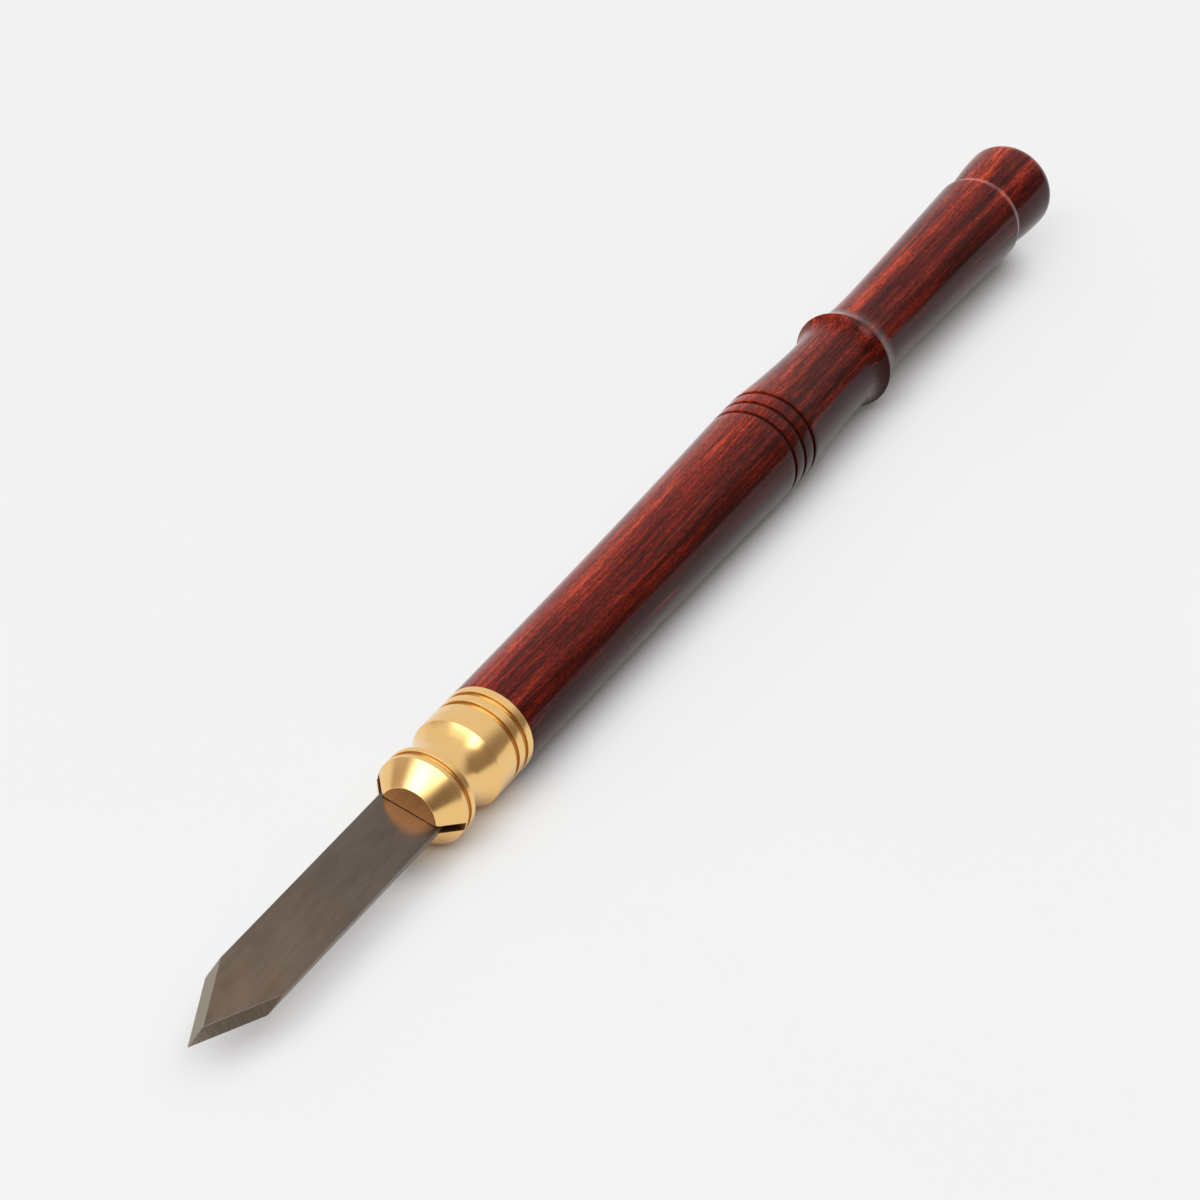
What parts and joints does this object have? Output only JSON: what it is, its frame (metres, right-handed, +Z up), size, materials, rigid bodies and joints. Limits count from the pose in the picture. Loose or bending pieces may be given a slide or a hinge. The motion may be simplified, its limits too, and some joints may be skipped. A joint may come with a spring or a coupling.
{
  "type": "marking knife",
  "caption": "Spear-point marking knife: flat steel blade with ground bevels, held in a slotted turned brass ferrule on a slim turned rosewood handle.",
  "frame": {"origin": "on the bench under the knife's axis, midway between the point and the butt", "axes": "+X along the axis from the point to the butt, +Z up from the bench; the knife lies rolled about its axis, with its bevelled face towards +Z and -Y"},
  "size_m": [0.1642, 0.0108, 0.0107],
  "materials": {
    "blade_steel": "ground satin, drawn lengthwise",
    "ferrule_brass": "turned and polished",
    "handle_rosewood": "clear satin gloss over red and dark streaks",
    "adhesive": "cured resin"
  },
  "bodies": {
    "root": {"blade": "blade_steel", "ferrule": "ferrule_brass", "handle": "handle_rosewood", "tang_bond": "adhesive", "spigot_bond": "adhesive"}
  },
  "joints": []
}
